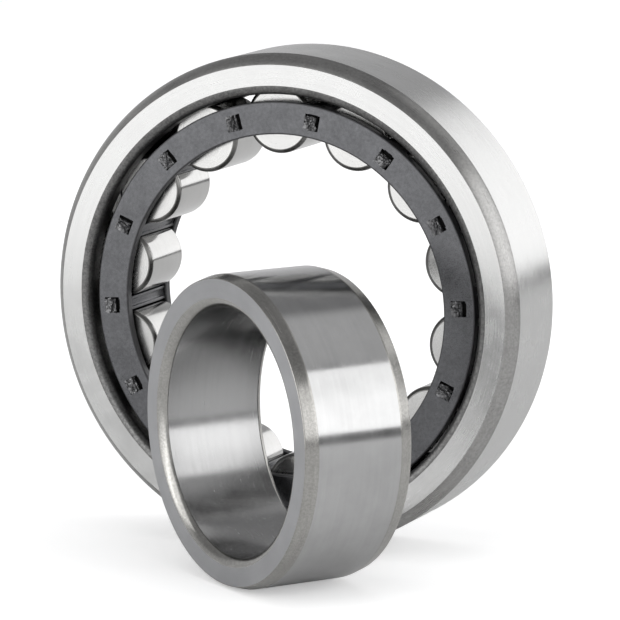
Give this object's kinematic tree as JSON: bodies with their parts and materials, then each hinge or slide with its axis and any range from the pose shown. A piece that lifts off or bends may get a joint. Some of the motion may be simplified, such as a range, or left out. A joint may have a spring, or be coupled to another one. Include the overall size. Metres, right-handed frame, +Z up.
{
  "type": "cylindrical roller bearing",
  "caption": "Single-row cylindrical roller bearing with a riveted steel cage. Its plain inner ring is drawn out and stands in front of it.",
  "frame": {"origin": "the middle of the outer ring, on its axis, which is where the housing bore holds it", "axes": "+Y along the outer ring's axis from its front face to its rear face, +Z up, +X to the right seen from the front"},
  "size_m": [0.072, 0.0529, 0.072],
  "materials": {
    "outer_ring_steel": "ground, satin, with rougher turned chamfers",
    "inner_ring_steel": "fine ground raceway and bore, satin faces",
    "roller_steel": "polished rolling surface, fine ground ends",
    "cage_steel": "dark phosphated sheet steel, matt"
  },
  "bodies": {
    "outer_ring": {"outer_ring": "outer_ring_steel"},
    "cage": {"cage_side_ring_front": "cage_steel", "cage_side_ring_rear": "cage_steel", "cage_bar_01": "cage_steel", "cage_bar_02": "cage_steel", "cage_bar_03": "cage_steel", "cage_bar_04": "cage_steel", "cage_bar_05": "cage_steel", "cage_bar_06": "cage_steel", "cage_bar_07": "cage_steel", "cage_bar_08": "cage_steel", "cage_bar_09": "cage_steel", "cage_bar_10": "cage_steel", "cage_bar_11": "cage_steel", "cage_bar_12": "cage_steel", "cage_bar_13": "cage_steel", "cage_bar_14": "cage_steel"},
    "roller_01": {"roller_01": "roller_steel"},
    "roller_02": {"roller_02": "roller_steel"},
    "roller_03": {"roller_03": "roller_steel"},
    "roller_04": {"roller_04": "roller_steel"},
    "roller_05": {"roller_05": "roller_steel"},
    "roller_06": {"roller_06": "roller_steel"},
    "roller_07": {"roller_07": "roller_steel"},
    "roller_08": {"roller_08": "roller_steel"},
    "roller_09": {"roller_09": "roller_steel"},
    "roller_10": {"roller_10": "roller_steel"},
    "roller_11": {"roller_11": "roller_steel"},
    "roller_12": {"roller_12": "roller_steel"},
    "roller_13": {"roller_13": "roller_steel"},
    "roller_14": {"roller_14": "roller_steel"},
    "inner_ring": {"inner_ring": "inner_ring_steel"}
  },
  "joints": [
    {"name": "cage_spin", "type": "hinge", "parent": "outer_ring", "child": "cage", "pos_m": [0, 0, 0], "axis": [0, 1, 0], "continuous": true},
    {"name": "roller_01_spin", "type": "hinge", "parent": "cage", "child": "roller_01", "pos_m": [-0.00155, 0, 0.02637], "axis": [0, 1, 0], "continuous": true},
    {"name": "roller_02_spin", "type": "hinge", "parent": "cage", "child": "roller_02", "pos_m": [0.0103, 0, 0.02444], "axis": [0, 1, 0], "continuous": true},
    {"name": "roller_03_spin", "type": "hinge", "parent": "cage", "child": "roller_03", "pos_m": [0.02011, 0, 0.01761], "axis": [0, 1, 0], "continuous": true},
    {"name": "roller_04_spin", "type": "hinge", "parent": "cage", "child": "roller_04", "pos_m": [0.02593, 0, 0.00723], "axis": [0, 1, 0], "continuous": true},
    {"name": "roller_05_spin", "type": "hinge", "parent": "cage", "child": "roller_05", "pos_m": [0.02663, 0, -0.00463], "axis": [0, 1, 0], "continuous": true},
    {"name": "roller_06_spin", "type": "hinge", "parent": "cage", "child": "roller_06", "pos_m": [0.02204, 0, -0.01564], "axis": [0, 1, 0], "continuous": true},
    {"name": "roller_07_spin", "type": "hinge", "parent": "cage", "child": "roller_07", "pos_m": [0.0131, 0, -0.02362], "axis": [0, 1, 0], "continuous": true},
    {"name": "roller_08_spin", "type": "hinge", "parent": "cage", "child": "roller_08", "pos_m": [0.00155, 0, -0.02697], "axis": [0, 1, 0], "continuous": true},
    {"name": "roller_09_spin", "type": "hinge", "parent": "cage", "child": "roller_09", "pos_m": [-0.01029, 0, -0.02502], "axis": [0, 1, 0], "continuous": true},
    {"name": "roller_10_spin", "type": "hinge", "parent": "cage", "child": "roller_10", "pos_m": [-0.02005, 0, -0.01816], "axis": [0, 1, 0], "continuous": true},
    {"name": "roller_11_spin", "type": "hinge", "parent": "cage", "child": "roller_11", "pos_m": [-0.02589, 0, -0.00782], "axis": [0, 1, 0], "continuous": true},
    {"name": "roller_12_spin", "type": "hinge", "parent": "cage", "child": "roller_12", "pos_m": [-0.02663, 0, 0.00403], "axis": [0, 1, 0], "continuous": true},
    {"name": "roller_13_spin", "type": "hinge", "parent": "cage", "child": "roller_13", "pos_m": [-0.02204, 0, 0.01504], "axis": [0, 1, 0], "continuous": true},
    {"name": "roller_14_spin", "type": "hinge", "parent": "cage", "child": "roller_14", "pos_m": [-0.0131, 0, 0.02302], "axis": [0, 1, 0], "continuous": true},
    {"name": "inner_ring_spin", "type": "hinge", "parent": "outer_ring", "child": "inner_ring", "pos_m": [0.007, -0.02515, -0.014], "axis": [0.5693, 0.8221, 0], "continuous": true}
  ],
  "couplings": [
    {"joint": "roller_01_spin", "follows": "cage_spin", "ratio": -6.4},
    {"joint": "roller_02_spin", "follows": "cage_spin", "ratio": -6.4},
    {"joint": "roller_03_spin", "follows": "cage_spin", "ratio": -6.4},
    {"joint": "roller_04_spin", "follows": "cage_spin", "ratio": -6.4},
    {"joint": "roller_05_spin", "follows": "cage_spin", "ratio": -6.4},
    {"joint": "roller_06_spin", "follows": "cage_spin", "ratio": -6.4},
    {"joint": "roller_07_spin", "follows": "cage_spin", "ratio": -6.4},
    {"joint": "roller_08_spin", "follows": "cage_spin", "ratio": -6.4},
    {"joint": "roller_09_spin", "follows": "cage_spin", "ratio": -6.4},
    {"joint": "roller_10_spin", "follows": "cage_spin", "ratio": -6.4},
    {"joint": "roller_11_spin", "follows": "cage_spin", "ratio": -6.4},
    {"joint": "roller_12_spin", "follows": "cage_spin", "ratio": -6.4},
    {"joint": "roller_13_spin", "follows": "cage_spin", "ratio": -6.4},
    {"joint": "roller_14_spin", "follows": "cage_spin", "ratio": -6.4}
  ]
}
